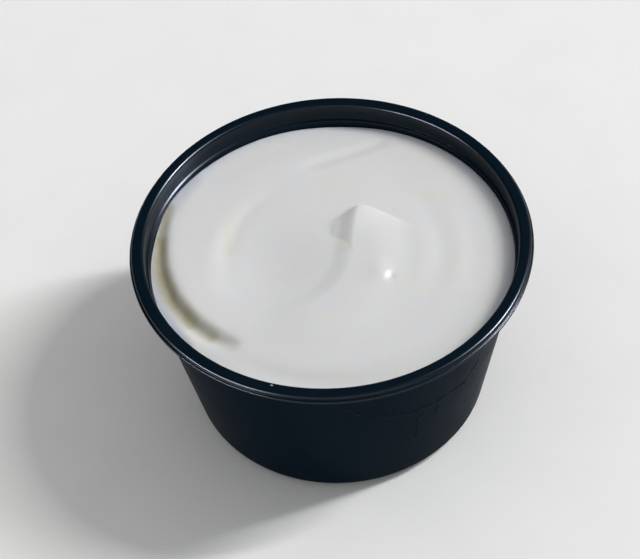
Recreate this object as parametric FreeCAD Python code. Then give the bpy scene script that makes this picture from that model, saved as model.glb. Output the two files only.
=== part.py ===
import FreeCAD, Part
import math
import os

# A small plastic portion cup, filled with sour cream to a few millimetres under its rim.
# Millimetres, +Z up. The origin is the centre of the flat base, on the surface it stands on.
# Azimuths are in degrees about the cup's axis, from +X towards +Y.

# --- cup: driving dimensions -------------------------------------------------------------
RIM_DIAMETER = 74.0        # over the outer lip
CUP_HEIGHT = 40.0
BASE_DIAMETER = 55.8       # where the wall would meet the base with no rounded heel
WALL = 0.5                 # thickness of the tapered wall
BASE_THICKNESS = 0.6
HEEL_RADIUS = 3.7          # rounded corner between base and wall, on the outside

# --- rim: rounded on both sides, with a small flange and a hollow under it --------------------
RIM_WIDTH = 2.33           # from the mouth out to the rim's outer leg
RIM_SHEET = 0.45           # thickness of the plastic in the rim
INNER_ROUND = 0.63         # rounding of the rim's inner edge
OUTER_ROUND = 0.6          # and of its outer edge
FLANGE_WIDTH = 0.35        # how far the flange stands out from the leg
FLANGE_DROP = 0.9          # from the top of the cup down to the flange
FLANGE_THICKNESS = 0.58
FLANGE_ROUND = 0.2

# --- stacking ledge under the rim --------------------------------------------------------
LEDGE_DEPTH = 3.45         # from the top of the cup down to the ledge's upper edge
LEDGE_FALL = 0.3           # height of the sloping ledge
LEDGE_STEP = 0.35          # how far the ledge steps in
UPPER_DRAFT = 3.0          # taper of the short wall above the ledge, degrees

# --- sour cream: level, broad swells and banks along the wall ------------------------------
FILL_DEPTH = 4.9           # from the top of the cup down to the cream, where nothing raises it
# (height, centre, spread)
SWELLS = (
    (1.1, (6.0, 0.0), 17.0),
    (-1.4, (-12.5, -2.0), 10.5),
)
# (height, azimuth, spread in degrees, reach from the wall)
BANKS = (
    (0.5, 167.0, 27.0, 10.0),
    (0.4, 167.0, 27.0, 2.5),
    (-0.35, 85.0, 17.0, 10.0),
    (0.6, 5.0, 50.0, 10.0),
    (-0.7, 5.0, 60.0, 1.6),
    (-0.6, 203.0, 24.0, 3.5),
)

# --- sour cream: the spoon's fold, which runs up to a pointed peak -------------------------
FOLD_CENTRE = (-9.3, 0.0)
FOLD_RADIUS = 13.1         # from that centre to the fold
FOLD_FLARE = 0.0043        # how fast the fold turns outward towards the peak, mm per degree²
EDGE_ANGLE = 31.5          # the crisp edge from the peak, about the fold's centre
EDGE_FROM = 17.5           # beyond this distance the edge turns back towards +X
EDGE_SWEEP = 3.0           # by this many degrees per mm
EDGE_DROP = 1.2            # width of the steep drop behind the edge
FOLD_HEIGHT = 0.65
PEAK_HEIGHT = 2.4
PEAK_SPREAD = 18.0         # degrees of the fold that the peak takes up
FOLD_END = -112.0          # the fold fades out between these two angles
FOLD_FADE = -70.0
FACE_SLOPE = 0.16          # mean slope of the face inside the fold
HORN_SLOPE = 0.28          # what the peak adds to that slope
HORN_WIDTH = 7.5           # fall of the peak outside the fold
LOBE_FROM = 4.0            # the low lobe outside the fold falls between these distances
LOBE_TO = 12.0

# --- sour cream: crevice where it has drawn away from the wall ------------------------------
CREVICE_START = 150.0      # azimuths of its shallow ends and of its deep stretch
CREVICE_DEEP_FROM = 172.0
CREVICE_DEEP_TO = 212.0
CREVICE_END = 232.0
CREVICE_GAP = 0.8          # from the wall to its floor, at the start
CREVICE_TURN_IN = 0.03     # how fast it leaves the wall, mm per degree
CREVICE_BEND_IN = 0.0008   # and how fast that grows, mm per degree²
CREVICE_DEPTH = 1.4
CREVICE_INNER = 1.5        # half width of its inner side
CREVICE_OUTER = 2.2        # half width of its outer side

# --- sour cream: shallow ripples and a crease ----------------------------------------------
# (height, radius of the first crest, spacing, number of crests, azimuth, spread, width)
RIPPLES = (
    (0.27, 17.3, 6.3, 2, -4.0, 38.0, 2.2),
    (-0.24, 19.4, 6.0, 1, 152.0, 32.0, 1.5),
    (0.20, 22.6, 6.0, 1, 160.0, 34.0, 2.2),
    (-0.22, 29.3, 6.0, 1, 112.0, 22.0, 1.8),
    (-0.18, 28.3, 6.0, 1, -47.0, 16.0, 1.8),
    (-0.45, 29.3, 6.0, 1, -97.0, 28.0, 1.8),
)
CREASE_DEPTH = 0.45        # straight crease across the far side
CREASE_START = (-1.8, 23.5)
CREASE_END = (10.0, 27.4)
CREASE_WIDTH = 1.3

# --- spline surface that carries the cream's top --------------------------------------------
GRID_STEPS = 76
GRID_MARGIN = 1.0          # how far the surface runs past the cavity
SAME_POINT = 1e-6          # section points nearer than this are one


def rim_radius():
    return RIM_DIAMETER / 2.0


def leg_radius():
    """Outer radius of the rim above its flange."""
    return rim_radius() - FLANGE_WIDTH


def mouth_radius():
    """Inner radius of the cup at the rim, the widest that the cavity gets."""
    return leg_radius() - RIM_WIDTH


def inner_centre():
    """Centre of the rim's inner rounding, as (radius, height)."""
    return (mouth_radius() + INNER_ROUND, CUP_HEIGHT - INNER_ROUND)


def outer_centre():
    """Centre of the rim's outer rounding, as (radius, height)."""
    return (leg_radius() - OUTER_ROUND, CUP_HEIGHT - OUTER_ROUND)


def ledge_top():
    """Inner upper edge of the stacking ledge, as (radius, height)."""
    height = CUP_HEIGHT - LEDGE_DEPTH
    fall = inner_centre()[1] - height
    return (mouth_radius() - fall * math.tan(math.radians(UPPER_DRAFT)), height)


def ledge_foot():
    """Inner lower edge of the stacking ledge, where the tapered wall starts."""
    radius, height = ledge_top()
    return (radius - LEDGE_STEP, height - LEDGE_FALL)


def draft():
    """Taper of the wall in radians, from the base's corner to the ledge's foot."""
    foot_radius, foot_height = ledge_foot()
    run = foot_radius + WALL - BASE_DIAMETER / 2.0
    return math.atan2(run, foot_height)


def wall_radius(height, inset):
    """Radius of the tapered wall's outside, or of a face set in from it."""
    corner = BASE_DIAMETER / 2.0
    return corner + height * math.tan(draft()) - inset / math.cos(draft())


def at(radius, height):
    return FreeCAD.Vector(radius, 0.0, height)


def on_circle(centre, radius, degrees):
    """Point of a section circle, as (radius, height)."""
    angle = math.radians(degrees)
    return (centre[0] + radius * math.cos(angle), centre[1] + radius * math.sin(angle))


def line(start, end):
    return Part.LineSegment(at(*start), at(*end)).toShape()


def arc(centre, radius, start_degrees, end_degrees):
    middle = (start_degrees + end_degrees) / 2.0
    angles = (start_degrees, middle, end_degrees)
    return Part.Arc(*[at(*on_circle(centre, radius, angle)) for angle in angles]).toShape()


def ends(piece):
    """First and last point of a piece of a section, as (radius, height) pairs."""
    if isinstance(piece, tuple):
        return piece, piece
    first = piece.valueAt(piece.FirstParameter)
    last = piece.valueAt(piece.LastParameter)
    return (first.x, first.z), (last.x, last.z)


def chain(start, *pieces):
    """Edges of a section: from a start point, in order, through more points and arcs."""
    edges = []
    here = start
    for piece in pieces:
        first, last = ends(piece)
        if math.dist(here, first) > SAME_POINT:
            edges.append(line(here, first))
        if not isinstance(piece, tuple):
            edges.append(piece)
        here = last
    return edges


def revolve(edges):
    """Solid of revolution about the cup's axis, from the edges of a closed section."""
    face = Part.Face(Part.Wire(edges))
    return face.revolve(FreeCAD.Vector(0, 0, 0), FreeCAD.Vector(0, 0, 1), 360.0)


def heel_centre(inset, floor_height):
    """Centre of the rounded corner between base and wall, on a face set in from the outside."""
    height = floor_height + HEEL_RADIUS - inset
    radius = wall_radius(height, inset) - (HEEL_RADIUS - inset) / math.cos(draft())
    return (radius, height)


def heel(inset, floor_height, upward=True):
    """The rounded corner, followed from the base up to the wall or the other way."""
    angles = (-90.0, -math.degrees(draft()))
    first, last = angles if upward else angles[::-1]
    return arc(heel_centre(inset, floor_height), HEEL_RADIUS - inset, first, last)


def cup_section():
    """Closed section of the cup, from the base's centre out, over the rim and back inside."""
    inner = inner_centre()
    outer = outer_centre()
    flange_top = CUP_HEIGHT - FLANGE_DROP
    skirt = flange_top - FLANGE_THICKNESS
    flange_upper = (rim_radius() - FLANGE_ROUND, flange_top - FLANGE_ROUND)
    flange_lower = (rim_radius() - FLANGE_ROUND, skirt + FLANGE_ROUND)
    ledge_radius, ledge_height = ledge_top()
    foot_radius, foot_height = ledge_foot()
    return chain(
        (0.0, 0.0),
        heel(0.0, 0.0),
        (wall_radius(foot_height, 0.0), foot_height),
        (ledge_radius + WALL, ledge_height),
        arc(inner, INNER_ROUND - RIM_SHEET, 180.0, 90.0),
        arc(outer, OUTER_ROUND - RIM_SHEET, 90.0, 0.0),
        (leg_radius() - RIM_SHEET, skirt),
        arc(flange_lower, FLANGE_ROUND, -90.0, 0.0),
        arc(flange_upper, FLANGE_ROUND, 0.0, 90.0),
        (leg_radius(), flange_top),
        arc(outer, OUTER_ROUND, 0.0, 90.0),
        arc(inner, INNER_ROUND, 90.0, 180.0),
        (ledge_radius, ledge_height),
        (foot_radius, foot_height),
        heel(WALL, BASE_THICKNESS, upward=False),
        (0.0, BASE_THICKNESS),
        (0.0, 0.0),
    )


def portion_cup():
    return revolve(cup_section())


def cavity():
    """The cup's inside, up to where the rim's rounding starts."""
    top = inner_centre()[1]
    edges = chain(
        (0.0, BASE_THICKNESS),
        heel(WALL, BASE_THICKNESS),
        ledge_foot(),
        ledge_top(),
        (mouth_radius(), top),
        (0.0, top),
        (0.0, BASE_THICKNESS),
    )
    return revolve(edges)


def bell(offset, spread):
    """1 at offset 0, falling smoothly to nearly 0 by two spreads."""
    return math.exp(-((offset / spread) ** 2))


def ramp(value, start, end):
    """0 up to start, 1 from end, smooth between them."""
    share = min(max((value - start) / (end - start), 0.0), 1.0)
    return share * share * (3.0 - 2.0 * share)


def turn(azimuth, centre):
    """Difference of two azimuths, from -180 to 180 degrees."""
    return (azimuth - centre + 180.0) % 360.0 - 180.0


def broad_shape(x, y, radius, azimuth):
    """The broad swells and hollows, and the banks along the wall."""
    total = sum(height * bell(math.dist((x, y), centre), spread)
                for height, centre, spread in SWELLS)
    from_wall = max(mouth_radius() - radius, 0.0)
    for height, centre, spread, reach in BANKS:
        total += height * bell(from_wall, reach) * bell(turn(azimuth, centre), spread)
    return total


def fold_shape(x, y):
    """The spoon's fold: a sloping face, a low lobe and a pointed peak with a crisp edge."""
    reach = math.dist((x, y), FOLD_CENTRE)
    angle = math.degrees(math.atan2(y - FOLD_CENTRE[1], x - FOLD_CENTRE[0]))
    side = reach - FOLD_RADIUS - FOLD_FLARE * max(min(angle, EDGE_ANGLE), 0.0) ** 2
    edge = EDGE_ANGLE - EDGE_SWEEP * max(reach - EDGE_FROM, 0.0)
    horn = (PEAK_HEIGHT - FOLD_HEIGHT) * bell(min(angle - EDGE_ANGLE, 0.0), PEAK_SPREAD)
    if side > 0.0:
        height = FOLD_HEIGHT * (1.0 - ramp(side, LOBE_FROM, LOBE_TO))
        height += horn * bell(side, HORN_WIDTH)
    else:
        height = FOLD_HEIGHT * ramp(side, -FOLD_HEIGHT / FACE_SLOPE, 0.0)
        height += max(horn + side * HORN_SLOPE, 0.0)
    past_edge = reach * math.radians(max(angle - edge, 0.0))
    return height * bell(past_edge, EDGE_DROP) * ramp(angle, FOLD_END, FOLD_FADE)


def crevice_shape(radius, azimuth):
    """The groove between the bank and the cream that clings to the wall."""
    along = azimuth % 360.0
    from_start = along - CREVICE_START
    floor_radius = (mouth_radius() - CREVICE_GAP - CREVICE_TURN_IN * from_start
                    - CREVICE_BEND_IN * from_start ** 2)
    depth = CREVICE_DEPTH * ramp(along, CREVICE_START, CREVICE_DEEP_FROM)
    depth *= 1.0 - ramp(along, CREVICE_DEEP_TO, CREVICE_END)
    offset = radius - floor_radius
    return -depth * bell(offset, CREVICE_OUTER if offset > 0.0 else CREVICE_INNER)


def ripple_shape(radius, azimuth):
    """Shallow rings about the cup's axis, over part of the way round."""
    total = 0.0
    for height, first, spacing, crests, centre, spread, width in RIPPLES:
        rings = sum(bell(radius - first - spacing * k, width) for k in range(crests))
        total += height * rings * bell(turn(azimuth, centre), spread)
    return total


def crease_shape(x, y):
    """The straight crease across the far side."""
    length = math.dist(CREASE_START, CREASE_END)
    along_x = (CREASE_END[0] - CREASE_START[0]) / length
    along_y = (CREASE_END[1] - CREASE_START[1]) / length
    from_x, from_y = x - CREASE_START[0], y - CREASE_START[1]
    along = from_x * along_x + from_y * along_y
    across = from_y * along_x - from_x * along_y
    overrun = max(-along, along - length, 0.0)
    return -CREASE_DEPTH * bell(across, CREASE_WIDTH) * bell(overrun, 2.0 * CREASE_WIDTH)


def cream_height(x, y):
    """Height of the cream's surface over the base, at a place in the cup."""
    radius = math.hypot(x, y)
    azimuth = math.degrees(math.atan2(y, x))
    height = CUP_HEIGHT - FILL_DEPTH
    height += broad_shape(x, y, radius, azimuth)
    height += fold_shape(x, y)
    height += crevice_shape(radius, azimuth)
    height += ripple_shape(radius, azimuth)
    height += crease_shape(x, y)
    return height


def cream_top():
    """Spline face through the heights of the cream's surface."""
    half = mouth_radius() + GRID_MARGIN
    marks = [-half + 2.0 * half * k / GRID_STEPS for k in range(GRID_STEPS + 1)]
    rows = [[FreeCAD.Vector(x, y, cream_height(x, y)) for y in marks] for x in marks]
    surface = Part.BSplineSurface()
    surface.interpolate(rows)
    return surface.toShape()


def sour_cream():
    """The cavity, filled from the base up to the cream's surface."""
    column = cream_top().extrude(FreeCAD.Vector(0, 0, -CUP_HEIGHT))
    return cavity().common(column)


def export(shape, node):
    solids = shape.Solids
    if len(solids) != 1:
        raise ValueError(node + " has to be one solid")
    solids[0].exportStep("parts/" + node + ".step")
    print(node, "volume mm3", round(solids[0].Volume, 1))


os.makedirs("parts", exist_ok=True)
export(portion_cup(), "portion_cup")
export(sour_cream(), "sour_cream")
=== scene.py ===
"""A plastic portion cup of sour cream: meshes and finishes for its two pieces, and a plain studio.

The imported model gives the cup's width and height. Every other size here is in millimetres in a
dataclass field, and each mesh is scaled to metres when it is finished. Azimuths are in degrees
about the cup's axis, from +X towards +Y.
"""

import logging
import math
from dataclasses import dataclass, field
from enum import Enum
from functools import reduce

import bmesh
import bpy
from bmesh.types import BMEdge, BMesh, BMVert
from bpy.types import Material, Node, NodeSocket, Object
from mathutils import Matrix, Vector


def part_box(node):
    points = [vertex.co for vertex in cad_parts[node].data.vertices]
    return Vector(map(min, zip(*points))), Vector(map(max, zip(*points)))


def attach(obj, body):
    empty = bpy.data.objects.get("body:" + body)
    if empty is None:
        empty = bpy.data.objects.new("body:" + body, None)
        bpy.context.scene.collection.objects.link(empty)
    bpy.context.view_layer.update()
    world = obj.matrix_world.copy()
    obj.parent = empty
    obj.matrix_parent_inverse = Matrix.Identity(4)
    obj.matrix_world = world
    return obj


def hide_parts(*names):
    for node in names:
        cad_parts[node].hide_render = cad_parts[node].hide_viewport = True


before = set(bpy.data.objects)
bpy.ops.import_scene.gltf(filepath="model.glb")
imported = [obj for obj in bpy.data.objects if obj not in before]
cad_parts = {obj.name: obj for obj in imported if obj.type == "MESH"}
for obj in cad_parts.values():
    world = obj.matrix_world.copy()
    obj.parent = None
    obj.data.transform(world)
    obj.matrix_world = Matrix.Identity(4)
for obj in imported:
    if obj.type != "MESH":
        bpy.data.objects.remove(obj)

LOG = logging.getLogger("sour_cream")
MM = 0.001
MERGE_DISTANCE = 1e-4
FULL_TURN = 360.0
POINT = tuple[float, float]
COLOUR = tuple[float, float, float]


class Body(Enum):
    """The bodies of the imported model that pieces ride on."""

    ROOT = "root"


class Slot(Enum):
    """The record's material slots."""

    CUP = "cup_plastic"
    CREAM = "cream"


# --- small curves ------------------------------------------------------------------------


def bell(offset: float, spread: float) -> float:
    """Fall smoothly from 1 at offset 0 to nearly 0 by two spreads.

    Args:
        offset: Distance from the middle of the bell.
        spread: Distance at which it has fallen to 1/e.

    Returns:
        A value from 0 to 1.
    """
    return math.exp(-((offset / spread) ** 2))


def ramp(value: float, start: float, end: float) -> float:
    """Rise smoothly from 0 at start to 1 at end.

    Args:
        value: Where the ramp is read.
        start: Where it leaves 0.
        end: Where it reaches 1.

    Returns:
        A value from 0 to 1.
    """
    share = min(max((value - start) / (end - start), 0.0), 1.0)
    return share * share * (3.0 - 2.0 * share)


def turn(azimuth: float, centre: float) -> float:
    """Measure one azimuth from another.

    Args:
        azimuth: The azimuth, in degrees.
        centre: The azimuth that it is measured from.

    Returns:
        The difference, from -180 to 180 degrees.
    """
    half = FULL_TURN / 2.0
    return (azimuth - centre + half) % FULL_TURN - half


# --- meshes ------------------------------------------------------------------------------


class SectionPen:
    """Draws a section as a chain of edges in a mesh's XZ plane.

    A straight run that is long enough starts and ends with a short edge, which keeps its shading
    flat. An arc's steps turn by arc_step at most, and are no longer than about arc_chord.
    """

    hold: float = 0.06
    shortest_run: float = 0.24
    least_steps: int = 3
    arc_step: float = 10.0
    arc_chord: float = 0.26

    def __init__(self, mesh: BMesh, start: POINT) -> None:
        """Put the first vertex down.

        Args:
            mesh: The mesh that gets the edges.
            start: Radius and height of the first point.
        """
        self.mesh = mesh
        self.tip = mesh.verts.new((start[0], 0.0, start[1]))

    def step_to(self, point: POINT) -> None:
        """Draw one straight edge.

        Args:
            point: Radius and height of its far end.
        """
        grown = bmesh.ops.extrude_vert_indiv(self.mesh, verts=[self.tip])
        self.tip = grown["verts"][0]
        self.tip.co = (point[0], 0.0, point[1])

    def line(self, *points: POINT) -> None:
        """Draw straight runs.

        Args:
            points: Radius and height of each next point.
        """
        for point in points:
            start = Vector((self.tip.co.x, self.tip.co.z))
            run = Vector(point) - start
            if run.length > self.shortest_run:
                self.step_to(start + run.normalized() * self.hold)
                self.step_to(start + run * (1.0 - self.hold / run.length))
            self.step_to(point)

    def arc(self, centre: POINT, degrees: float) -> None:
        """Turn the last point about a centre.

        Args:
            centre: Radius and height of the centre.
            degrees: The turn, positive from the radius towards the height.
        """
        angle = math.radians(degrees)
        length = math.dist(centre, (self.tip.co.x, self.tip.co.z)) * abs(angle)
        steps = max(self.least_steps, round(abs(degrees) / self.arc_step),
                    round(length / self.arc_chord))
        spun = bmesh.ops.spin(
            self.mesh, geom=[self.tip], cent=(centre[0], 0.0, centre[1]), axis=(0.0, -1.0, 0.0),
            angle=angle, steps=steps)
        self.tip = next(part for part in spun["geom_last"] if isinstance(part, BMVert))

    def corner(self, corner: POINT, after: POINT, radius: float) -> None:
        """Draw towards a corner and round it.

        Args:
            corner: The sharp corner.
            after: A point that the section goes on to.
            radius: Radius of the rounding.
        """
        point = Vector(corner)
        back = (Vector((self.tip.co.x, self.tip.co.z)) - point).normalized()
        ahead = (Vector(after) - point).normalized()
        half = back.angle(ahead) / 2.0
        centre = point + (back + ahead).normalized() * radius / math.sin(half)
        self.line(tuple(point + back * radius / math.tan(half)))
        side = math.copysign(1.0, ahead.cross(back))
        self.arc(tuple(centre), side * (180.0 - math.degrees(2.0 * half)))


def revolve(mesh: BMesh, segments: int) -> None:
    """Spin a drawn section a full turn about Z and close its seam and poles.

    Args:
        mesh: The mesh that holds the section alone.
        segments: Number of steps in the full turn.
    """
    bmesh.ops.spin(
        mesh, geom=mesh.verts[:] + mesh.edges[:], cent=(0.0, 0.0, 0.0), axis=(0.0, 0.0, 1.0),
        angle=2.0 * math.pi, steps=segments, use_merge=True)
    bmesh.ops.remove_doubles(mesh, verts=mesh.verts[:], dist=MERGE_DISTANCE)
    bmesh.ops.recalc_face_normals(mesh, faces=mesh.faces[:])


def finish_piece(mesh: BMesh, name: str, material: Material) -> Object:
    """Turn a mesh in millimetres into a smooth, dressed piece that rides on the cup's body.

    Args:
        mesh: The mesh, which is freed.
        name: Name of the piece.
        material: Its finish.

    Returns:
        The new object, at the origin.
    """
    bmesh.ops.scale(mesh, vec=(MM, MM, MM), verts=mesh.verts[:])
    for face in mesh.faces:
        face.smooth = True
    data = bpy.data.meshes.new(name)
    mesh.to_mesh(data)
    mesh.free()
    data.materials.append(material)
    piece = bpy.data.objects.new(name, data)
    bpy.context.scene.collection.objects.link(piece)
    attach(piece, Body.ROOT.value)
    LOG.info("%s: %d faces", name, len(data.polygons))
    return piece


# --- shader expressions --------------------------------------------------------------------


class Term:
    """A shader value that Python's operators work on."""

    def __init__(self, shader: "Shader", socket: NodeSocket) -> None:
        """Wrap an output socket of a shader's node."""
        self.shader = shader
        self.socket = socket

    def math(self, operation: str, *values: "Term | float", clamp: bool = False) -> "Term":
        """Add a Math node.

        Args:
            operation: The node's operation.
            values: Its inputs, in order.
            clamp: Whether the result is kept from 0 to 1.

        Returns:
            The node's result.
        """
        settings = {"operation": operation, "use_clamp": clamp}
        return self.shader.node("ShaderNodeMath", settings, dict(enumerate(values)))

    def __add__(self, other: "Term | float") -> "Term":
        """Add."""
        return self.math("ADD", self, other)

    __radd__ = __add__

    def __sub__(self, other: "Term | float") -> "Term":
        """Subtract."""
        return self.math("SUBTRACT", self, other)

    def __rsub__(self, other: float) -> "Term":
        """Subtract from a number."""
        return self.math("SUBTRACT", other, self)

    def __mul__(self, other: "Term | float") -> "Term":
        """Multiply."""
        return self.math("MULTIPLY", self, other)

    __rmul__ = __mul__

    def larger(self, other: "Term | float") -> "Term":
        """Keep the larger of two values."""
        return self.math("MAXIMUM", self, other)

    def clamped(self) -> "Term":
        """Keep the value from 0 to 1."""
        return self.math("ADD", self, 0.0, clamp=True)

    def between(self, low: float, high: float, start: float = 0.0, end: float = 1.0) -> "Term":
        """Map a range smoothly onto another, and stop at its ends.

        Args:
            low: Value that gives start.
            high: Value that gives end.
            start: Result at low and before.
            end: Result at high and beyond.

        Returns:
            The mapped value.
        """
        settings = {"interpolation_type": "SMOOTHSTEP"}
        values = {"Value": self, "From Min": low, "From Max": high, "To Min": start, "To Max": end}
        return self.shader.node("ShaderNodeMapRange", settings, values)


class Shader:
    """A material's node tree, built from one kind of call.

    A Mix node's sockets are picked by number: the factor, its two colours and their mix.
    """

    mix_inputs: tuple[int, int, int] = (0, 6, 7)
    mix_result: int = 2

    def __init__(self, name: str) -> None:
        """Start a material with a Principled surface.

        Args:
            name: Name of the material.
        """
        self.material = bpy.data.materials.new(name)
        self.material.use_nodes = True
        self.tree = self.material.node_tree
        self.surface = self.tree.nodes["Principled BSDF"]

    def add(self, kind: str, settings: dict[str, object],
            values: dict[int | str, object]) -> Node:
        """Add a node: settings first, then the values or links of its sockets.

        Args:
            kind: The node's type.
            settings: Its properties.
            values: Its inputs by name or index: terms, numbers, colours or vectors.

        Returns:
            The node.
        """
        node = self.tree.nodes.new(kind)
        for key, value in settings.items():
            setattr(node, key, value)
        for key, value in values.items():
            self.feed(node.inputs[key], value)
        return node

    def node(self, kind: str, settings: dict[str, object], values: dict[int | str, object],
             output: int | str = 0) -> Term:
        """Add a node and take one of its outputs.

        Args:
            kind: The node's type.
            settings: Its properties.
            values: Its inputs by name or index.
            output: Name or index of the output.

        Returns:
            The output, for use in expressions.
        """
        return Term(self, self.add(kind, settings, values).outputs[output])

    def feed(self, socket: NodeSocket, value: object) -> None:
        """Link a term to an input, or set the input's value.

        Args:
            socket: The input.
            value: A term, a number, or a colour or vector of numbers.
        """
        if isinstance(value, Term):
            self.tree.links.new(value.socket, socket)
        elif socket.type == "RGBA":
            socket.default_value = (*value, 1.0)
        else:
            socket.default_value = value

    def place(self) -> Term:
        """Give the object coordinates in millimetres."""
        coordinates = self.node("ShaderNodeTexCoord", {}, {}, "Object")
        return self.vector("SCALE", coordinates, scale=1.0 / MM)

    def vector(self, operation: str, *values: object, scale: float | Term | None = None,
               output: int | str = 0) -> Term:
        """Add a Vector Math node.

        Args:
            operation: The node's operation.
            values: Its vector inputs, in order.
            scale: Its scale input, where it has one.
            output: Name or index of the output.

        Returns:
            The node's result.
        """
        inputs = dict(enumerate(values))
        if scale is not None:
            inputs["Scale"] = scale
        return self.node("ShaderNodeVectorMath", {"operation": operation}, inputs, output)

    def mix(self, factor: Term, first: object, second: object) -> Term:
        """Mix two colours.

        Args:
            factor: 0 for the first, 1 for the second.
            first: A colour or a term.
            second: A colour or a term.

        Returns:
            The mixed colour.
        """
        settings = {"data_type": "RGBA", "clamp_factor": True}
        values = dict(zip(self.mix_inputs, (factor, first, second)))
        return self.node("ShaderNodeMix", settings, values, self.mix_result)

    def relief(self, height: Term, depth: float = 1.0) -> Term:
        """Make a normal from a height in millimetres.

        Args:
            height: The height.
            depth: What a height of 1 stands for, in millimetres.

        Returns:
            The bumped normal.
        """
        values = {"Strength": 1.0, "Distance": depth * MM, "Height": height}
        return self.node("ShaderNodeBump", {}, values)

    def dress(self, **values: object) -> Material:
        """Set the surface's inputs.

        Args:
            values: Values or terms by input name, with _ for a space.

        Returns:
            The finished material.
        """
        for key, value in values.items():
            self.feed(self.surface.inputs[key.replace("_", " ")], value)
        return self.material


@dataclass(frozen=True)
class Grain:
    """Noise with blotches of one size, and the stretch of its values that makes patches."""

    size: float
    detail: float
    seed: float
    low: float = 0.0
    high: float = 1.0

    def read(self, shader: Shader, place: Term) -> Term:
        """Add the noise.

        Args:
            shader: The material's shader.
            place: Where the noise is read, in millimetres.

        Returns:
            A value around 0.5.
        """
        values = {"Vector": place, "W": self.seed, "Scale": 1.0 / self.size, "Detail": self.detail}
        return shader.node("ShaderNodeTexNoise", {"noise_dimensions": "4D"}, values)

    def patches(self, shader: Shader, place: Term) -> Term:
        """Give 0 where the noise is below its low value, and 1 above its high one."""
        return self.read(shader, place).between(self.low, self.high)


@dataclass(frozen=True)
class Stroke:
    """A straight stroke: full up to its half width, then fading over its soft edge.

    Its ends have two numbers where it lies in an unrolled or flattened place, and else three.
    """

    start: tuple[float, ...]
    end: tuple[float, ...]
    half_width: float
    soft: float
    strength: float = 1.0

    def mask(self, shader: Shader, place: Term) -> Term:
        """Mask the stroke.

        Args:
            shader: The material's shader.
            place: Where the mask is read.

        Returns:
            The stroke's strength in it, and 0 away from it.
        """
        start = Vector(self.start).to_3d()
        along = Vector(self.end).to_3d() - start
        from_start = shader.vector("SUBTRACT", place, tuple(start))
        share = shader.vector("DOT_PRODUCT", from_start, tuple(along / along.length_squared),
                              output="Value")
        nearest = shader.vector("SCALE", tuple(along), scale=share.clamped())
        gap = shader.vector("DISTANCE", from_start, nearest, output="Value")
        return gap.between(self.half_width, self.half_width + self.soft, self.strength, 0.0)


def cover(shader: Shader, place: Term, strokes: tuple[Stroke, ...]) -> Term:
    """Mask several strokes.

    Args:
        shader: The material's shader.
        place: Where the mask is read.
        strokes: The strokes.

    Returns:
        The strength of the strongest stroke at a place.
    """
    return reduce(Term.larger, [stroke.mask(shader, place) for stroke in strokes])


# --- cup ---------------------------------------------------------------------------------


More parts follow.
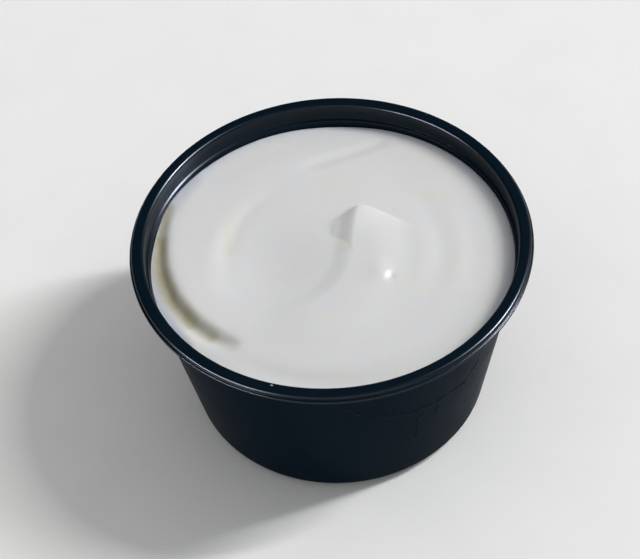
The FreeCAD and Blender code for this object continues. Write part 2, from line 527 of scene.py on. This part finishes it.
@dataclass(frozen=True)
class CupPlastic:
    """Blue-black moulded plastic, glossier on the rim, with a dull smear on the right wall.

    The smear's strokes lie on the wall as if unrolled: across is millimetres from the side that
    faces -Y, and up is the height.
    """

    colour: COLOUR = (0.001, 0.0065, 0.013)
    dusty: COLOUR = (0.003, 0.010, 0.018)
    greasy: COLOUR = (0.012, 0.018, 0.026)
    cream: COLOUR = (0.40, 0.42, 0.44)
    tint: COLOUR = (0.55, 0.8, 1.0)
    roughness: float = 0.32
    gloss: float = 0.0085
    polish: float = 0.42
    polish_inside: float = 0.27
    polish_roughness: float = 0.26
    polish_index: float = 1.5
    inside_from: float = 35.0
    inside_to: float = 36.2
    rim_from: float = 38.0
    rim_to: float = 39.2
    haze: Grain = Grain(9.0, 4.0, 1.3, 0.42, 0.72)
    haze_colour: float = 0.5
    haze_roughness: float = 0.07
    fine: Grain = Grain(0.35, 2.0, 4.1)
    fine_roughness: float = 0.03
    fine_height: float = 0.0015
    waves: Grain = Grain(2.4, 3.0, 7.7)
    wave_height: float = 0.012
    smear_radius: float = 33.0
    smear_waver: Grain = Grain(1.6, 2.0, 6.0)
    smear_shift: float = 0.8
    smear_grain: Grain = Grain(0.9, 2.0, 3.3, 0.36, 0.56)
    smear_colour: float = 0.3
    smear_roughness: float = 0.2
    smear_height: float = 0.06
    smear_strokes: tuple[Stroke, ...] = (
        Stroke((28.1, 27.1), (25.2, 24.0), 0.3, 0.9),
        Stroke((25.2, 24.0), (20.8, 24.6), 0.2, 0.8),
        Stroke((20.8, 24.6), (17.6, 24.2), 0.4, 0.9),
        Stroke((17.6, 24.2), (13.1, 25.0), 0.3, 0.8),
        Stroke((13.1, 25.0), (7.1, 27.0), 0.1, 0.9),
        Stroke((14.0, 24.6), (14.4, 14.2), 0.15, 0.5),
        Stroke((14.8, 25.4), (15.3, 21.8), 0.2, 0.5),
        Stroke((18.0, 24.2), (18.7, 20.0), 0.25, 0.5),
        Stroke((27.7, 15.0), (27.8, 14.6), 0.2, 0.7),
        Stroke((0.9, 32.1), (2.9, 29.6), 0.05, 0.5),
        Stroke((-17.9, 12.6), (-17.8, 12.4), 0.05, 0.3),
    )
    dab: Stroke = Stroke((-27.3, 20.4, 36.9), (-31.0, 13.9, 36.8), 0.2, 0.9)
    dab_grain: Grain = Grain(0.7, 3.0, 9.1, 0.4, 0.7)
    dab_cover: float = 0.1
    speck: Stroke = Stroke((-12.1, -32.9, 40.0), (-11.9, -33.0, 40.0), 0.03, 0.16)

    def smear(self, shader: Shader, place: Term, parts: Node) -> Term:
        """Mask the dull smear and its drips on the right of the wall.

        Args:
            shader: The material's shader.
            place: Object coordinates in millimetres.
            parts: The same, split into numbers.

        Returns:
            1 on a smear.
        """
        x, y, z = (Term(shader, output) for output in parts.outputs)
        across = x.math("ARCTAN2", x, y * -1.0) * self.smear_radius
        unrolled = shader.node("ShaderNodeCombineXYZ", {}, {0: across, 1: z})
        waver = self.smear_waver.read(shader, place) * (2.0 * self.smear_shift) - self.smear_shift
        shift = shader.node("ShaderNodeCombineXYZ", {}, {0: waver, 1: waver})
        mask = cover(shader, shader.vector("ADD", unrolled, shift), self.smear_strokes)
        return mask * self.smear_grain.patches(shader, place)

    def crumbs(self, shader: Shader, place: Term) -> Term:
        """Mask the dab of cream on the inside of the wall and the speck on the rim.

        Args:
            shader: The material's shader.
            place: Object coordinates in millimetres.

        Returns:
            1 where cream covers the plastic.
        """
        dab = self.dab.mask(shader, place) * self.dab_grain.patches(shader, place)
        return (dab * self.dab_cover).larger(self.speck.mask(shader, place))

    def coat(self, height: Term) -> Term:
        """Weigh the coat: none on the wall, some above the ledge and the most on the rim.

        Args:
            height: Height over the base, in millimetres.

        Returns:
            The coat's weight.
        """
        inside = height.between(self.inside_from, self.inside_to, 0.0, self.polish_inside)
        return inside + height.between(self.rim_from, self.rim_to, 0.0,
                                       self.polish - self.polish_inside)

    def material(self) -> Material:
        """Build the material.

        Returns:
            The cup's plastic.
        """
        shader = Shader("cup_plastic")
        place = shader.place()
        parts = shader.add("ShaderNodeSeparateXYZ", {}, {0: place})
        smear = self.smear(shader, place, parts)
        haze = self.haze.patches(shader, place)
        fine = self.fine.read(shader, place)
        plain = shader.mix(haze * self.haze_colour, self.colour, self.dusty)
        colour = shader.mix(smear * self.smear_colour, plain, self.greasy)
        roughness = (haze * self.haze_roughness + self.roughness + fine * self.fine_roughness
                     + smear * self.smear_roughness)
        height = (self.waves.read(shader, place) * self.wave_height + fine * self.fine_height
                  + smear * self.smear_height)
        return shader.dress(
            Base_Color=shader.mix(self.crumbs(shader, place), colour, self.cream),
            Roughness=roughness, Specular_IOR_Level=self.gloss, Specular_Tint=self.tint,
            Coat_Weight=self.coat(Term(shader, parts.outputs["Z"])),
            Coat_Roughness=self.polish_roughness, Coat_IOR=self.polish_index,
            Normal=shader.relief(height))


@dataclass
class PortionCup:
    """The cup: a tapered wall, a rounded heel, a stacking ledge and a rim with a flange.

    Its flat base and floor have a ring of edges, at base_ring times their radius.
    """

    rim_radius: float
    height: float
    base_radius: float = 27.9
    wall: float = 0.5
    base_thickness: float = 0.6
    heel_radius: float = 3.7
    rim_width: float = 2.33
    rim_sheet: float = 0.45
    inner_round: float = 0.63
    outer_round: float = 0.6
    flange_width: float = 0.35
    flange_drop: float = 0.9
    flange_thickness: float = 0.58
    flange_round: float = 0.2
    ledge_depth: float = 3.45
    ledge_fall: float = 0.3
    ledge_step: float = 0.35
    ledge_round: float = 0.12
    upper_draft: float = 3.0
    base_ring: float = 0.5
    segments: int = 288
    plastic: CupPlastic = field(default_factory=CupPlastic)

    @property
    def leg_radius(self) -> float:
        """Outer radius of the rim above its flange."""
        return self.rim_radius - self.flange_width

    @property
    def mouth_radius(self) -> float:
        """Inner radius at the rim."""
        return self.leg_radius - self.rim_width

    @property
    def ledge_top(self) -> POINT:
        """Inner upper edge of the stacking ledge."""
        height = self.height - self.ledge_depth
        fall = self.ledge_depth - self.inner_round
        return (self.mouth_radius - fall * math.tan(math.radians(self.upper_draft)), height)

    @property
    def ledge_foot(self) -> POINT:
        """Inner lower edge of the stacking ledge."""
        return (self.ledge_top[0] - self.ledge_step, self.ledge_top[1] - self.ledge_fall)

    @property
    def draft(self) -> float:
        """Taper of the wall, in radians."""
        foot_radius, foot_height = self.ledge_foot
        return math.atan2(foot_radius + self.wall - self.base_radius, foot_height)

    def wall_radius(self, height: float, inset: float) -> float:
        """Radius of the tapered wall.

        Args:
            height: Height over the base.
            inset: How far the face lies inside the wall's outside.

        Returns:
            The radius there.
        """
        return self.base_radius + height * math.tan(self.draft) - inset / math.cos(self.draft)

    def inner_radius(self, height: float) -> float:
        """Radius of the cup's inside, ledge included.

        Args:
            height: Height over the base.

        Returns:
            The radius there.
        """
        top_radius, top_height = self.ledge_top
        foot_radius, foot_height = self.ledge_foot
        if height <= foot_height:
            return self.wall_radius(height, self.wall)
        if height <= top_height:
            return foot_radius + self.ledge_step * (height - foot_height) / self.ledge_fall
        return top_radius + (height - top_height) * math.tan(math.radians(self.upper_draft))

    def heel_centre(self, inset: float, floor_height: float) -> POINT:
        """Centre of the rounded corner on a face set in from the outside.

        Args:
            inset: How far the face lies inside the outer one.
            floor_height: Height of the flat face that the corner starts from.

        Returns:
            Radius and height of the centre.
        """
        radius = self.heel_radius - inset
        height = floor_height + radius
        return (self.wall_radius(height, inset) - radius / math.cos(self.draft), height)

    def draw_outside(self, pen: SectionPen) -> None:
        """Draw the base, the heel, the wall and the hollow under the rim.

        Args:
            pen: Pen that stands at the base's centre.
        """
        heel = self.heel_centre(0.0, 0.0)
        inner = (self.mouth_radius + self.inner_round, self.height - self.inner_round)
        outer = (self.leg_radius - self.outer_round, self.height - self.outer_round)
        skirt = self.height - self.flange_drop - self.flange_thickness
        pen.line((heel[0] * self.base_ring, 0.0), (heel[0], 0.0))
        pen.arc(heel, 90.0 - math.degrees(self.draft))
        pen.line((self.ledge_foot[0] + self.wall, self.ledge_foot[1]))
        pen.line((self.ledge_top[0] + self.wall, self.ledge_top[1]))
        pen.line((self.mouth_radius + self.rim_sheet, inner[1]))
        pen.arc(inner, -90.0)
        pen.line((outer[0], self.height - self.rim_sheet))
        pen.arc(outer, -90.0)
        pen.line((self.leg_radius - self.rim_sheet, skirt))

    def draw_rim(self, pen: SectionPen) -> None:
        """Draw the flange and the rounded top of the rim.

        Args:
            pen: Pen that stands at the rim's lower inner edge.
        """
        top = self.height - self.flange_drop
        skirt = top - self.flange_thickness
        pen.corner((self.rim_radius, skirt), (self.rim_radius, top), self.flange_round)
        pen.corner((self.rim_radius, top), (self.leg_radius, top), self.flange_round)
        pen.line((self.leg_radius, top))
        pen.corner((self.leg_radius, self.height), (self.mouth_radius, self.height),
                   self.outer_round)
        pen.corner((self.mouth_radius, self.height), (self.mouth_radius, top), self.inner_round)

    def draw_inside(self, pen: SectionPen) -> None:
        """Draw the ledge, the inner wall and the floor.

        Args:
            pen: Pen that stands at the rim's inner side.
        """
        heel = self.heel_centre(self.wall, self.base_thickness)
        rise = 90.0 - math.degrees(self.draft)
        start = Vector(heel) + (self.heel_radius - self.wall) * Vector(
            (math.cos(self.draft), -math.sin(self.draft)))
        pen.corner(self.ledge_top, self.ledge_foot, self.ledge_round)
        pen.corner(self.ledge_foot, tuple(start), self.ledge_round)
        pen.line(tuple(start))
        pen.arc(heel, -rise)
        pen.line((heel[0] * self.base_ring, self.base_thickness), (0.0, self.base_thickness))

    def build(self) -> Object:
        """Make the cup.

        Returns:
            The piece, which replaces the plain CAD cup.
        """
        mesh = bmesh.new()
        pen = SectionPen(mesh, (0.0, 0.0))
        self.draw_outside(pen)
        self.draw_rim(pen)
        self.draw_inside(pen)
        revolve(mesh, self.segments)
        piece = finish_piece(mesh, "cup", self.plastic.material())
        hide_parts("portion_cup")
        return piece


# --- sour cream --------------------------------------------------------------------------


@dataclass(frozen=True)
class CreamFinish:
    """Thick dairy cream: off-white, light goes a little way in, with a soft wet sheen.

    Its strokes lie on the surface as seen from above; most of them mark painted shade.
    """

    colour: COLOUR = (0.685, 0.685, 0.685)
    warm: COLOUR = (0.68, 0.675, 0.655)
    # Olive-brown painted shade for the dark crevice by the left wall.
    crevice_shade: COLOUR = (0.38, 0.35, 0.225)
    # Warm painted shade for the shallow grooves.
    groove_shade: COLOUR = (0.66, 0.64, 0.52)
    # Bluish grey of a thin film of cream over the dark plastic, also used as painted shade by the
    # upper-left wall.
    film_and_shade: COLOUR = (0.40, 0.43, 0.50)
    # Bluish painted shade for the cream near the wall.
    cool_shade: COLOUR = (0.66, 0.68, 0.73)
    roughness: float = 0.36
    index: float = 1.36
    depth: float = 1.2
    scatter: COLOUR = (1.0, 0.92, 0.72)
    blotch: Grain = Grain(11.0, 3.0, 2.2, 0.45, 0.75)
    blotch_colour: float = 0.5
    damp: Grain = Grain(5.0, 3.0, 8.0, 0.4, 0.7)
    damp_roughness: float = 0.08
    fine: Grain = Grain(0.5, 2.0, 5.0)
    fine_height: float = 0.004
    # The band by the wall that gets the bluish painted shade, and how strongly.
    edge_radius: float = 33.9
    edge_width: float = 3.0
    edge_colour: float = 0.8
    patchy: Grain = Grain(2.6, 1.0, 6.5, 0.1, 0.7)
    # How patchy the crevice's painted shade is.
    crevice_shade_patchy: float = 0.3
    # Strokes where the crevice's painted shade lies.
    crevice: tuple[Stroke, ...] = (
        Stroke((-30.1, 14.4), (-31.9, 7.1), 0.0, 1.8, 0.8),
        Stroke((-31.9, 7.1), (-32.0, 0.0), 0.3, 2.0, 0.95),
        Stroke((-32.0, 0.0), (-30.0, -6.9), 0.4, 2.2, 1.0),
        Stroke((-30.0, -6.9), (-26.2, -12.8), 0.3, 2.4, 0.9),
        Stroke((-26.2, -12.8), (-22.6, -16.6), 0.1, 2.3, 0.75),
        Stroke((-22.6, -16.6), (-18.8, -19.2), 0.0, 2.2, 0.4),
    )
    # Strokes where warm painted shade lies in the grooves and on the fold's face.
    grooves: tuple[Stroke, ...] = (
        Stroke((19.3, 12.6), (21.2, 11.8), 0.0, 2.6, 0.5),
        Stroke((-17.9, 11.5), (-19.0, 8.6), 0.0, 2.0, 0.4),
        Stroke((-19.0, 8.6), (-19.4, 3.2), 0.0, 1.9, 0.5),
        Stroke((2.0, 1.4), (2.7, 0.2), 0.0, 1.9, 0.4),
    )
    # Strokes of the thin film along the left wall; the last one is painted shade by the upper-left
    # wall.
    film_and_shade_strokes: tuple[Stroke, ...] = (
        Stroke((-31.9, 11.3), (-33.4, 4.0), 0.0, 1.6, 0.75),
        Stroke((-33.4, 4.0), (-32.6, -7.0), 0.4, 1.8, 0.75),
        Stroke((-32.6, -7.0), (-27.4, -18.4), 0.3, 1.8, 0.7),
        Stroke((-31.6, 12.0), (-25.8, 21.4), 0.2, 2.8, 0.5),
    )

    def tints(self, shader: Shader, place: Term) -> Term:
        """Colour the cream and paint shade: cool by the wall, olive in the crevice, warm in
        grooves.

        Args:
            shader: The material's shader.
            place: Object coordinates in millimetres.

        Returns:
            The colour.
        """
        flat = shader.vector("MULTIPLY", place, (1.0, 1.0, 0.0))
        radius = shader.vector("LENGTH", flat, output="Value")
        blotch = self.blotch.patches(shader, place)
        colour = shader.mix(blotch * self.blotch_colour, self.colour, self.warm)
        # Painted bluish shade in a band along the wall.
        edge = radius.between(self.edge_radius - self.edge_width, self.edge_radius)
        colour = shader.mix(edge * self.edge_colour, colour, self.cool_shade)
        patchy = self.patchy.patches(shader, place)
        # Thin film along the left wall, partly painted shade by the upper-left wall.
        film_and_shade = cover(shader, flat, self.film_and_shade_strokes)
        # Painted shade in the grooves, in patches.
        groove_shade = cover(shader, flat, self.grooves) * patchy
        # Painted shade in the crevice, patchy in part.
        crevice_shade = (cover(shader, flat, self.crevice)
                * (patchy * self.crevice_shade_patchy + (1.0 - self.crevice_shade_patchy)))
        colour = shader.mix(film_and_shade, colour, self.film_and_shade)
        colour = shader.mix(groove_shade, colour, self.groove_shade)
        return shader.mix(crevice_shade, colour, self.crevice_shade)

    def material(self) -> Material:
        """Build the material.

        Returns:
            The cream's finish.
        """
        shader = Shader("cream")
        place = shader.place()
        fine = self.fine.read(shader, place)
        damp = self.damp.patches(shader, place)
        shader.surface.subsurface_method = "RANDOM_WALK"
        return shader.dress(
            Base_Color=self.tints(shader, place),
            Roughness=damp * self.damp_roughness + self.roughness,
            Subsurface_Weight=1.0, Subsurface_Radius=self.scatter,
            Subsurface_Scale=self.depth * MM, Subsurface_Anisotropy=0.0, IOR=self.index,
            Normal=shader.relief(fine, self.fine_height))


@dataclass(frozen=True)
class Swell:
    """A round rise of the surface, or a hollow if its height is negative."""

    height: float
    centre: POINT
    spread: float

    def rise(self, x: float, y: float) -> float:
        """Give its height at a place."""
        return self.height * bell(math.dist((x, y), self.centre), self.spread)


@dataclass(frozen=True)
class Bank:
    """Cream that stands higher, or lower, along one stretch of the wall."""

    height: float
    azimuth: float
    spread: float
    reach: float

    def rise(self, from_wall: float, azimuth: float) -> float:
        """Give its height at a distance from the wall and an azimuth."""
        return (self.height * bell(from_wall, self.reach)
                * bell(turn(azimuth, self.azimuth), self.spread))


@dataclass(frozen=True)
class Fold:
    """The spoon's fold: a steep face, a soft lobe and a pointed peak at its upper end."""

    centre: POINT = (-9.3, 0.0)
    radius: float = 13.1
    flare: float = 0.0043
    edge_angle: float = 31.5
    edge_from: float = 17.5
    edge_sweep: float = 3.0
    edge_drop: float = 1.2
    height: float = 0.65
    peak_height: float = 2.4
    peak_spread: float = 18.0
    end: float = -112.0
    fade: float = -70.0
    face_slope: float = 0.16
    horn_slope: float = 0.28
    horn_width: float = 7.5
    lobe_from: float = 4.0
    lobe_to: float = 12.0

    def rise(self, x: float, y: float) -> float:
        """Give its height at a place.

        Args:
            x: Place along X.
            y: Place along Y.

        Returns:
            Height over the surface without it.
        """
        reach = math.dist((x, y), self.centre)
        angle = math.degrees(math.atan2(y - self.centre[1], x - self.centre[0]))
        side = reach - self.radius - self.flare * max(min(angle, self.edge_angle), 0.0) ** 2
        edge = self.edge_angle - self.edge_sweep * max(reach - self.edge_from, 0.0)
        horn = (self.peak_height - self.height) * bell(
            min(angle - self.edge_angle, 0.0), self.peak_spread)
        if side > 0.0:
            height = self.height * (1.0 - ramp(side, self.lobe_from, self.lobe_to))
            height += horn * bell(side, self.horn_width)
        else:
            height = self.height * ramp(side, -self.height / self.face_slope, 0.0)
            height += max(horn + side * self.horn_slope, 0.0)
        past_edge = reach * math.radians(max(angle - edge, 0.0))
        return height * bell(past_edge, self.edge_drop) * ramp(angle, self.end, self.fade)


@dataclass(frozen=True)
class Crevice:
    """The groove where the cream has drawn away from the wall."""

    start: float = 150.0
    deep_from: float = 172.0
    deep_to: float = 212.0
    end: float = 232.0
    gap: float = 0.8
    turn_in: float = 0.03
    bend_in: float = 0.0008
    depth: float = 1.4
    inner: float = 1.5
    outer: float = 2.2

    def rise(self, from_wall: float, azimuth: float) -> float:
        """Give its height, which is negative.

        Args:
            from_wall: Distance from the wall.
            azimuth: Where, in degrees.

        Returns:
            Height over the surface without it.
        """
        along = azimuth % FULL_TURN
        from_start = along - self.start
        floor = self.gap + self.turn_in * from_start + self.bend_in * from_start ** 2
        depth = self.depth * ramp(along, self.start, self.deep_from)
        depth *= 1.0 - ramp(along, self.deep_to, self.end)
        offset = floor - from_wall
        return -depth * bell(offset, self.outer if offset > 0.0 else self.inner)


@dataclass(frozen=True)
class Ripple:
    """Shallow rings about the cup's axis, over part of the way round."""

    height: float
    radius: float
    azimuth: float
    spread: float
    width: float
    crests: int = 1
    spacing: float = 0.0

    def rise(self, radius: float, azimuth: float) -> float:
        """Give its height at a radius and an azimuth."""
        rings = sum(bell(radius - self.radius - self.spacing * crest, self.width)
                    for crest in range(self.crests))
        return self.height * rings * bell(turn(azimuth, self.azimuth), self.spread)


@dataclass(frozen=True)
class Crease:
    """A shallow straight groove."""

    depth: float
    start: POINT
    end: POINT
    width: float
    fade: float

    def rise(self, x: float, y: float) -> float:
        """Give its height, which is negative.

        Args:
            x: Place along X.
            y: Place along Y.

        Returns:
            Height over the surface without it.
        """
        run = Vector(self.end) - Vector(self.start)
        offset = Vector((x, y)) - Vector(self.start)
        along = offset.dot(run) / run.length
        across = run.cross(offset) / run.length
        overrun = max(-along, along - run.length, 0.0)
        return -self.depth * bell(across, self.width) * bell(overrun, self.fade)


@dataclass
class SourCream:
    """The cream: one body from the cup's floor up to its swirled surface.

    Its sides run inside the plastic by into_wall, through a ring of edges at each wall level, each
    heel angle and the floor ring, which is a share of the floor's radius.
    """

    cup: PortionCup
    fill_depth: float = 4.9
    swells: tuple[Swell, ...] = (
        Swell(1.1, (6.0, 0.0), 17.0),
        Swell(-1.4, (-12.5, -2.0), 10.5),
        Swell(0.34, (8.9, -5.8), 2.2),
        Swell(-0.34, (10.5, -7.3), 0.92),
    )
    banks: tuple[Bank, ...] = (
        Bank(0.5, 167.0, 27.0, 10.0),
        Bank(0.4, 167.0, 27.0, 2.5),
        Bank(-0.35, 85.0, 17.0, 10.0),
        Bank(0.6, 5.0, 50.0, 10.0),
        Bank(-0.6, 5.0, 60.0, 1.3),
        Bank(-0.6, 203.0, 24.0, 3.5),
    )
    fold: Fold = field(default_factory=Fold)
    crevice: Crevice = field(default_factory=Crevice)
    ripples: tuple[Ripple, ...] = (
        Ripple(0.27, 17.3, -4.0, 38.0, 2.2, crests=2, spacing=6.3),
        Ripple(-0.24, 19.4, 152.0, 32.0, 1.5),
        Ripple(0.20, 22.6, 160.0, 34.0, 2.2),
        Ripple(-0.22, 29.3, 112.0, 22.0, 1.8),
        Ripple(-0.18, 28.3, -47.0, 16.0, 1.8),
        Ripple(-0.52, 29.3, -97.0, 28.0, 1.9),
    )
    crease: Crease = Crease(0.45, (-1.8, 23.5), (10.0, 27.4), 1.3, 2.6)
    grid_cells: int = 236
    grid_turn: float = 10.0
    edge_passes: int = 3
    into_wall: float = 0.2
    wall_levels: tuple[float, ...] = (30.0, 20.0, 10.0)
    heel_angles: tuple[float, ...] = (-10.0, -35.0, -60.0, -90.0)
    floor_ring: float = 0.4
    finish: CreamFinish = field(default_factory=CreamFinish)

    def height(self, x: float, y: float) -> float:
        """Give the height of the surface over the cup's base.

        Args:
            x: Place along X.
            y: Place along Y.

        Returns:
            The height.
        """
        radius = math.hypot(x, y)
        azimuth = math.degrees(math.atan2(y, x))
        from_wall = max(self.cup.mouth_radius - radius, 0.0)
        total = self.cup.height - self.fill_depth
        total += sum(swell.rise(x, y) for swell in self.swells)
        total += sum(bank.rise(from_wall, azimuth) for bank in self.banks)
        total += self.fold.rise(x, y)
        total += self.crevice.rise(self.cup.mouth_radius - radius, azimuth)
        total += sum(ripple.rise(radius, azimuth) for ripple in self.ripples)
        return total + self.crease.rise(x, y)

    def edge_radius(self, azimuth: float) -> float:
        """Find the radius at which the surface ends, just inside the wall's plastic.

        Args:
            azimuth: Where, in degrees.

        Returns:
            The radius.
        """
        radius = self.cup.mouth_radius
        for _ in range(self.edge_passes):
            place = Vector((radius, 0.0)) @ Matrix.Rotation(-math.radians(azimuth), 2)
            radius = self.cup.inner_radius(self.height(place.x, place.y)) + self.into_wall
        return radius

    def lay_surface(self, mesh: BMesh) -> None:
        """Make the top: a grid drawn out to a disc, then raised to the surface.

        Args:
            mesh: The empty mesh that gets it.
        """
        bmesh.ops.create_grid(mesh, x_segments=self.grid_cells, y_segments=self.grid_cells,
                              size=1.0)
        spin = Matrix.Rotation(math.radians(self.grid_turn), 2)
        edge = [self.edge_radius(degrees) for degrees in range(int(FULL_TURN) + 1)]
        for vert in mesh.verts:
            u, v = vert.co.x, vert.co.y
            place = spin @ Vector((u * math.sqrt(1.0 - v * v / 2.0),
                                   v * math.sqrt(1.0 - u * u / 2.0)))
            azimuth = math.degrees(math.atan2(place.y, place.x)) % FULL_TURN
            below = int(azimuth)
            radius = edge[below] + (edge[below + 1] - edge[below]) * (azimuth - below)
            place *= radius
            vert.co = (place.x, place.y, self.height(place.x, place.y))

    def draw_down(self, mesh: BMesh) -> None:
        """Take the rim of the surface down inside the wall and close it under the cup's floor.

        Args:
            mesh: The mesh that holds the surface.
        """
        cup = self.cup
        inset = cup.wall - self.into_wall
        floor_height = cup.base_thickness - self.into_wall
        heel = cup.heel_centre(inset, floor_height)
        levels = [(cup.wall_radius(height, inset), height) for height in self.wall_levels]
        bend = cup.heel_radius - inset
        for degrees in self.heel_angles:
            angle = math.radians(degrees)
            levels.append((heel[0] + bend * math.cos(angle), heel[1] + bend * math.sin(angle)))
        levels.append((heel[0] * self.floor_ring, floor_height))
        edges = [edge for edge in mesh.edges if edge.is_boundary]
        for radius, height in levels:
            grown = bmesh.ops.extrude_edge_only(mesh, edges=edges)["geom"]
            edges = [part for part in grown if isinstance(part, BMEdge)]
            for vert in (part for part in grown if isinstance(part, BMVert)):
                flat = vert.co.to_2d().normalized() * radius
                vert.co = (flat.x, flat.y, height)
        bmesh.ops.edgeloop_fill(mesh, edges=edges)
        bmesh.ops.recalc_face_normals(mesh, faces=mesh.faces[:])

    def build(self) -> Object:
        """Make the cream.

        Returns:
            The piece, which replaces the plain CAD cream.
        """
        mesh = bmesh.new()
        self.lay_surface(mesh)
        self.draw_down(mesh)
        piece = finish_piece(mesh, "cream", self.finish.material())
        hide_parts("sour_cream")
        return piece


# --- studio ------------------------------------------------------------------------------


@dataclass(frozen=True)
class FloorFinish:
    """Pale matt floor with a faint mottle."""

    pale: COLOUR = (0.80, 0.793, 0.775)
    mottle: COLOUR = (0.76, 0.753, 0.735)
    roughness: float = 0.85
    blotch: Grain = Grain(14.0, 5.0, 0.7, 0.35, 0.75)
    blotch_colour: float = 0.5
    fine: Grain = Grain(0.6, 3.0, 3.1)
    fine_height: float = 0.05

    def material(self) -> Material:
        """Build the material.

        Returns:
            The floor's finish.
        """
        shader = Shader("floor")
        place = shader.place()
        blotch = self.blotch.patches(shader, place) * self.blotch_colour
        fine = self.fine.read(shader, place)
        return shader.dress(Base_Color=shader.mix(blotch, self.pale, self.mottle),
                            Roughness=self.roughness,
                            Normal=shader.relief(fine, self.fine_height))


@dataclass(frozen=True)
class Panel:
    """A flat lamp that faces the cup, with its size as width and height and its power in watts."""

    name: str
    azimuth: float
    elevation: float
    distance: float
    size: POINT
    power: float
    colour: COLOUR = (1.0, 1.0, 1.0)
    only_gloss: bool = False

    def hang(self) -> None:
        """Hang the lamp where the camera can't see it."""
        light = bpy.data.lights.new(self.name, "AREA")
        light.shape = "RECTANGLE"
        light.size = self.size[0] * MM
        light.size_y = self.size[1] * MM
        light.energy = self.power
        light.color = self.colour
        lamp = bpy.data.objects.new(self.name, light)
        bpy.context.scene.collection.objects.link(lamp)
        across, up = math.radians(self.azimuth), math.radians(self.elevation)
        flat = math.cos(up)
        direction = Vector((flat * math.cos(across), flat * math.sin(across), math.sin(up)))
        lamp.location = direction * self.distance * MM
        lamp.rotation_euler = direction.to_track_quat("Z", "Y").to_euler()
        lamp.visible_camera = False
        lamp.visible_diffuse = not self.only_gloss


@dataclass
class Studio:
    """A plain pale floor, a tall key light, three lamps for gloss, a surround and the camera."""

    target_height: float
    distance: float = 354.4
    elevation: float = 48.175
    lens: float = 109.12
    sensor_width: float = 36.0
    roll: float = -4.39
    aim: POINT = (0.311, -1.249)
    gloss_colour: COLOUR = (0.82, 0.90, 1.10)
    surround: COLOUR = (0.52, 0.525, 0.53)
    floor_size: float = 6000.0
    floor: FloorFinish = field(default_factory=FloorFinish)

    def add_floor(self) -> None:
        """Lay the floor at the height that the cup stands on."""
        mesh = bmesh.new()
        bmesh.ops.create_grid(mesh, x_segments=1, y_segments=1, size=self.floor_size * MM / 2.0)
        data = bpy.data.meshes.new("floor")
        mesh.to_mesh(data)
        mesh.free()
        data.materials.append(self.floor.material())
        floor = bpy.data.objects.new("floor", data)
        bpy.context.scene.collection.objects.link(floor)

    def lamps(self) -> tuple[Panel, ...]:
        """List the tall key light on the right, and three lamps that only show in gloss.

        Returns:
            The lamps.
        """
        gloss = {"colour": self.gloss_colour, "only_gloss": True}
        return (
            Panel("key", azimuth=8.0, elevation=47.0, distance=4000.0, size=(180.0, 1600.0),
                  power=106.0),
            Panel("sheen", azimuth=8.0, elevation=40.0, distance=4000.0, size=(700.0, 1300.0),
                  power=540.0, **gloss),
            Panel("glint", azimuth=212.0, elevation=5.0, distance=1000.0, size=(800.0, 60.0),
                  power=31.0, **gloss),
            Panel("front", azimuth=270.0, elevation=24.0, distance=1000.0, size=(1300.0, 450.0),
                  power=3.5, **gloss),
        )

    def add_surround(self) -> None:
        """Give the scene a pale, even surround."""
        world = bpy.data.worlds.new("surround")
        bpy.context.scene.world = world
        world.use_nodes = True
        background = world.node_tree.nodes["Background"]
        background.inputs["Color"].default_value = (*self.surround, 1.0)
        background.inputs["Strength"].default_value = 1.0
        world.cycles_visibility.glossy = False

    def add_camera(self) -> None:
        """Put the camera at its viewing angle and make it the scene's."""
        data = bpy.data.cameras.new("camera")
        data.lens = self.lens
        data.sensor_width = self.sensor_width
        camera = bpy.data.objects.new("camera", data)
        bpy.context.scene.collection.objects.link(camera)
        elevation = math.radians(self.elevation)
        offset = Vector((0.0, -math.cos(elevation), math.sin(elevation)))
        camera.location = (Vector((0.0, 0.0, self.target_height)) + offset * self.distance) * MM
        look = Matrix.Rotation(math.radians(90.0 - self.elevation), 3, "X")
        tilt = (Matrix.Rotation(math.radians(self.roll), 3, "Z")
                @ Matrix.Rotation(math.radians(self.aim[0]), 3, "Y")
                @ Matrix.Rotation(math.radians(self.aim[1]), 3, "X"))
        camera.rotation_euler = (look @ tilt).to_euler()
        bpy.context.scene.camera = camera

    def build(self) -> None:
        """Set up the whole studio."""
        self.add_floor()
        for lamp in self.lamps():
            lamp.hang()
        self.add_surround()
        self.add_camera()
        bpy.context.scene.view_settings.view_transform = "Standard"
        LOG.info("studio: floor, four lamps, surround and camera")


def main() -> None:
    """Build the cup, the cream and the studio."""
    logging.basicConfig(level=logging.INFO)
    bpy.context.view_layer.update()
    low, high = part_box("portion_cup")
    cup = PortionCup(rim_radius=(high[0] - low[0]) / 2.0 / MM, height=(high[2] - low[2]) / MM)
    cup.build()
    SourCream(cup).build()
    Studio(target_height=cup.height).build()


if __name__ == "__main__":
    main()
